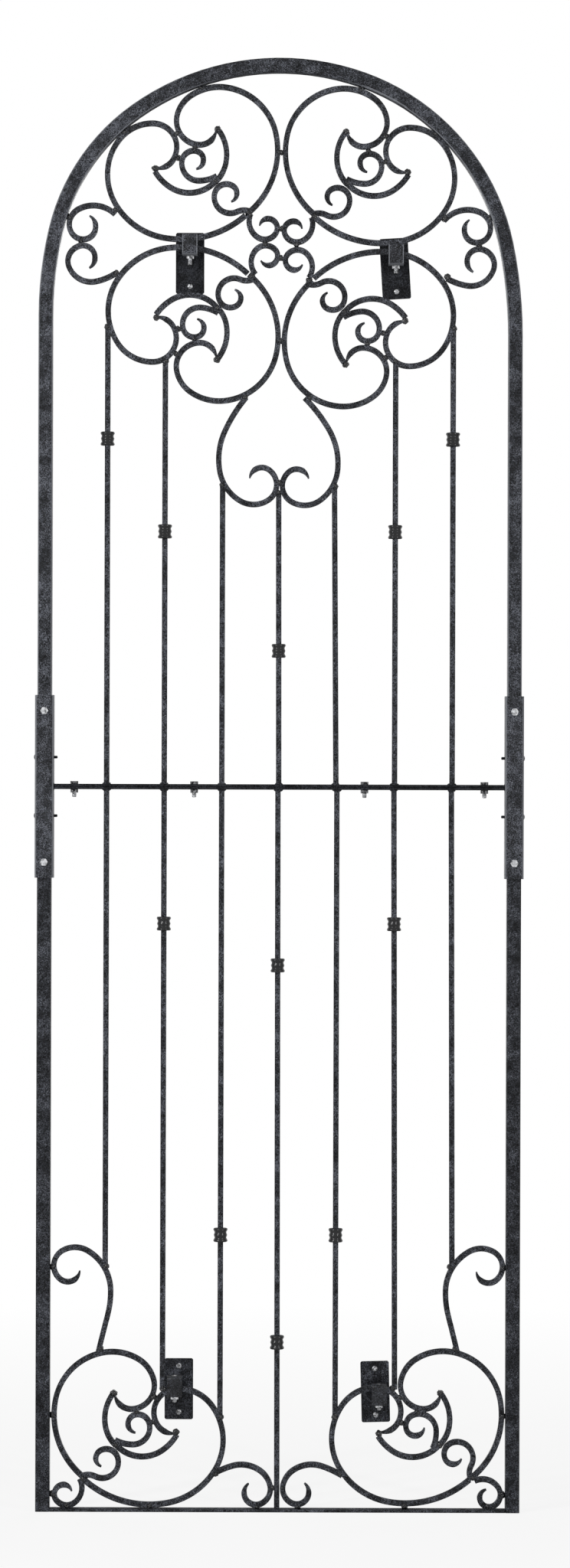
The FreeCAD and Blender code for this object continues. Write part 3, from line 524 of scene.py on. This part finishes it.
def make_fillets():
    """Weld where each upright stands on a cross rail."""
    dice = random.Random(SEED + 1)
    verts, faces = [], []
    for name, end in (("upper_bars", 0), ("lower_bars", 1)):
        for i, box in enumerate(islands(name)):
            low, high = box
            # the end of the bar on the rail, where a leaning bar's box is wider than the bar
            points = [v.co for v in nodes[name].data.vertices
                      if abs(v.co.z - box[end].z) < 0.2 * MM and low.x - MM < v.co.x < high.x + MM]
            x = sum(p.x for p in points) / len(points)
            radii = tuple(r * dice.uniform(0.88, 1.08) for r in FILLET_R)
            centre = Vector((x + dice.uniform(-0.5, 0.9) * MM, 0, box[end].z))
            lump(verts, faces, centre, radii, FILLET_RELIEF, 500 + i + 50 * end)
    add_piece("rail_fillets", verts, faces, "hammered_coat", "panel")


# ---- screws and threads ------------------------------------------------------------------------
def cross_depth(x, z):
    """Share of a cross recess's depth at a point of the head, in head radii."""
    arm, reach, soft = 0.15, 0.58, 0.07

    def inside(across, along):
        side = 1 - max(0.0, min(1.0, (abs(across) - arm * (1.25 - abs(along))) / soft))
        end = 1 - max(0.0, min(1.0, (abs(along) - reach) / soft))
        return side * end

    return max(inside(x, z), inside(z, x))


def wall_screw(name, place, turn, body):
    """Pan head with a cross recess on the front of a wall plate, and its shank through the plate."""
    segments = 48
    rings = 24
    ring_step = 0.04             # in head radii, so the dome ends just inside the head's edge
    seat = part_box(name.rsplit("_screw", 1)[0].rsplit("_", 1)[0] + "_wall_plate")
    front_y, back_y = seat[0].y, seat[1].y - 0.2 * MM
    verts, faces = [(place.x, front_y - SCREW_HEAD_RISE + SCREW_RECESS, place.z)], []
    for i in range(1, rings + 1):
        share = ring_step * i
        dome = SCREW_HEAD_RISE * (1 - 0.78 * share ** 5) * (1 - 0.10 * share ** 2)
        for j in range(segments):
            a = 2 * math.pi * j / segments
            u, w = share * math.cos(a), share * math.sin(a)
            depth = dome - SCREW_RECESS * cross_depth(u, w)
            c, s = math.cos(turn), math.sin(turn)
            x, z = (u * c - w * s) * SCREW_HEAD_R, (u * s + w * c) * SCREW_HEAD_R
            verts.append((place.x + x, front_y - depth, place.z + z))
    for radius, y in ((SCREW_HEAD_R, front_y - 0.25 * MM), (SCREW_HEAD_R, front_y),
                      (SCREW_SHANK_R, front_y), (SCREW_SHANK_R, back_y)):
        rings += 1
        for j in range(segments):
            a = 2 * math.pi * j / segments + turn
            verts.append((place.x + radius * math.cos(a), y, place.z + radius * math.sin(a)))
    verts.append((place.x, back_y, place.z))
    faces += [(0, 1 + j, 1 + (j + 1) % segments) for j in range(segments)]
    for i in range(rings - 1):
        for j in range(segments):
            a, b = 1 + i * segments + j, 1 + i * segments + (j + 1) % segments
            faces.append((a, a + segments, b + segments, b))
    last, first = len(verts) - 1, 1 + (rings - 1) * segments
    faces += [(last, first + (j + 1) % segments, first + j) for j in range(segments)]
    add_piece(name, verts, faces, "zinc", body, CLIP_ZINC)


def make_wall_screws():
    dice = random.Random(SEED + 2)
    for bracket in CORNERS:
        pattern = mounts.get(bracket + "_screws")
        if pattern:
            middle = Vector(pattern["pos_m"])
            half = Vector((0, 0, pattern["dims"]["spacing_y_mm"] * MM / 2))
            places = {"top": middle + half, "bottom": middle - half}
        else:
            places = {end: Vector(mounts[f"{bracket}_{end}_screw"]["pos_m"]) for end in ("top", "bottom")}
        for end, place in places.items():
            wall_screw(f"{bracket}_{end}_screw", place, dice.uniform(0, math.pi / 2), bracket + "_bracket")


def thread(name, start, axis, length, radius, pitch, look=None):
    """Helical crest round a plain shank that runs from start along axis."""
    steps = 28
    turns = length / pitch
    along = Vector(axis)
    side = Vector((0, 0, 1)) if abs(along.z) < 0.5 else Vector((1, 0, 0))
    other = along.cross(side)
    # the crest's section: its rise in crest heights, and its place along the axis in pitches
    outline = ((0.02, -0.42), (1.0, -0.06), (1.0, 0.06), (0.02, 0.42))
    verts, faces = [], []
    count = int(turns * steps)
    for i in range(count + 1):
        a = 2 * math.pi * i / steps
        fade = min(1.0, i / steps, (count - i) / steps)
        for rise, offset in outline:
            reach = radius + THREAD_CREST * rise * fade
            far = min(max((i / steps + offset) * pitch, 0.0), length)
            point = Vector(start) + along * far + (side * math.cos(a) + other * math.sin(a)) * reach
            verts.append(tuple(point))
    width = len(outline)
    for i in range(count):
        for k in range(width):
            a, b = i * width + k, i * width + (k + 1) % width
            faces.append((a, b, b + width, a + width))
    faces += [tuple(range(width))[::-1], tuple(count * width + k for k in range(width))]
    add_piece(name, verts, faces, "zinc", "panel", look)


def make_threads():
    for bolts, nuts, label in (("rail_bolts", "rail_nuts", "rail"), ("clip_bolts", "clip_nuts", "clip")):
        for i, (bolt, nut) in enumerate(zip(islands(bolts), islands(nuts))):
            x, y = (bolt[0].x + bolt[1].x) / 2, (bolt[0].y + bolt[1].y) / 2
            length = nut[0].z - bolt[0].z - THREAD_CHAMFER
            thread(f"{label}_thread_{i + 1}", (x, y, nut[0].z), (0, 0, -1), length, M6_R, PITCH_M6)
    for i, (bolt, nut) in enumerate(zip(islands("sleeve_bolts"), islands("sleeve_nuts"))):
        middle = (nut[0] + nut[1]) / 2
        start = (middle.x, nut[1].y, middle.z)
        length = bolt[1].y - nut[1].y - THREAD_CHAMFER
        thread(f"sleeve_thread_{i + 1}", start, (0, 1, 0), length, M6_R, PITCH_M6)
    for i, screw in enumerate(islands("sleeve_screws")):
        middle = (screw[0] + screw[1]) / 2
        side = 1 if middle.x > 0 else -1
        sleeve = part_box("right_sleeve" if side > 0 else "left_sleeve")
        inner_x = sleeve[0].x if side > 0 else sleeve[1].x
        tip_x = screw[0].x if side > 0 else screw[1].x
        start = (inner_x, middle.y, middle.z)
        length = abs(tip_x - inner_x) - THREAD_CHAMFER
        thread(f"side_thread_{i + 1}", start, (-side, 0, 0), length, M4_R, PITCH_M4, DARK_COAT)


# ---- floor, world, lights, camera --------------------------------------------------------------
def background_ray(tree):
    """1 for a ray that shows the background: the camera's own, or one off gloss or through glass."""
    path = tree.nodes.new("ShaderNodeLightPath")
    seen = math_node(tree, "MAXIMUM", path.outputs["Is Camera Ray"], path.outputs["Is Glossy Ray"])
    return math_node(tree, "MAXIMUM", seen, path.outputs["Is Transmission Ray"])


def make_floor():
    """Pale floor that keeps the object's shadow and fades to the plain white of the background."""
    material = bpy.data.materials.new("floor_look")
    material.use_nodes = True
    tree = material.node_tree
    tree.nodes.clear()
    out = tree.nodes.new("ShaderNodeOutputMaterial")
    mix = tree.nodes.new("ShaderNodeMixShader")
    pale = tree.nodes.new("ShaderNodeBsdfDiffuse")
    pale.inputs["Color"].default_value = FLOOR_WHITE
    white = tree.nodes.new("ShaderNodeEmission")
    reach = tree.nodes.new("ShaderNodeVectorMath")
    reach.operation = "LENGTH"
    tree.links.new(place_on(tree), reach.inputs[0])
    glow = spread(tree, reach.outputs["Value"], *FLOOR_FADE, FLOOR_GLOW, 1.0)
    tree.links.new(math_node(tree, "MULTIPLY", background_ray(tree), glow), mix.inputs["Fac"])
    tree.links.new(pale.outputs["BSDF"], mix.inputs[1])
    tree.links.new(white.outputs["Emission"], mix.inputs[2])
    tree.links.new(mix.outputs["Shader"], out.inputs["Surface"])
    mesh = bpy.data.meshes.new("floor")
    signs = ((-1, -1), (1, -1), (1, 1), (-1, 1))
    corners = [(x * FLOOR_HALF, y * FLOOR_HALF, 0) for x, y in signs]
    mesh.from_pydata(corners, [], [(0, 1, 2, 3)])
    mesh.materials.append(material)
    floor = bpy.data.objects.new("floor", mesh)
    bpy.context.scene.collection.objects.link(floor)


def make_world():
    """Plain white where it is seen, and a weak even light on everything else."""
    world = bpy.data.worlds.new("studio")
    bpy.context.scene.world = world
    world.use_nodes = True
    tree = world.node_tree
    tree.nodes.clear()
    out = tree.nodes.new("ShaderNodeOutputWorld")
    mix = tree.nodes.new("ShaderNodeMixShader")
    soft = tree.nodes.new("ShaderNodeBackground")
    soft.inputs["Color"].default_value = PLAIN_WHITE
    soft.inputs["Strength"].default_value = AMBIENT
    white = tree.nodes.new("ShaderNodeBackground")
    white.inputs["Color"].default_value = PLAIN_WHITE
    tree.links.new(background_ray(tree), mix.inputs["Fac"])
    tree.links.new(soft.outputs["Background"], mix.inputs[1])
    tree.links.new(white.outputs["Background"], mix.inputs[2])
    tree.links.new(mix.outputs["Shader"], out.inputs["Surface"])


def area_light(name, place, target, width, height, watts):
    data = bpy.data.lights.new(name, "AREA")
    data.shape = "RECTANGLE"
    data.size = width
    data.size_y = height
    data.energy = watts
    lamp = bpy.data.objects.new(name, data)
    lamp.location = place
    lamp.rotation_mode = "QUATERNION"
    lamp.rotation_quaternion = (Vector(target) - Vector(place)).to_track_quat("-Z", "Y")
    bpy.context.scene.collection.objects.link(lamp)


def make_lights():
    for lamp in LAMPS:
        area_light(*lamp)


def make_camera():
    data = bpy.data.cameras.new("camera")
    data.sensor_width = SENSOR
    data.lens = SENSOR * CAMERA_DISTANCE / (FRAME_HEIGHT_PX * MM_PER_PX * MM)
    camera = bpy.data.objects.new("camera", data)
    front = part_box("left_post")[0].y
    facing = Matrix.Rotation(math.radians(90), 4, "X") @ Matrix.Rotation(CAMERA_ROLL, 4, "Z")
    camera.matrix_world = Matrix.Translation((CAMERA_X, front - CAMERA_DISTANCE, CAMERA_Z)) @ facing
    bpy.context.scene.collection.objects.link(camera)
    bpy.context.scene.camera = camera


make_welds()
make_fillets()
make_wall_screws()
make_threads()
make_floor()
make_world()
make_lights()
make_camera()
bpy.context.scene.view_settings.view_transform = "Standard"
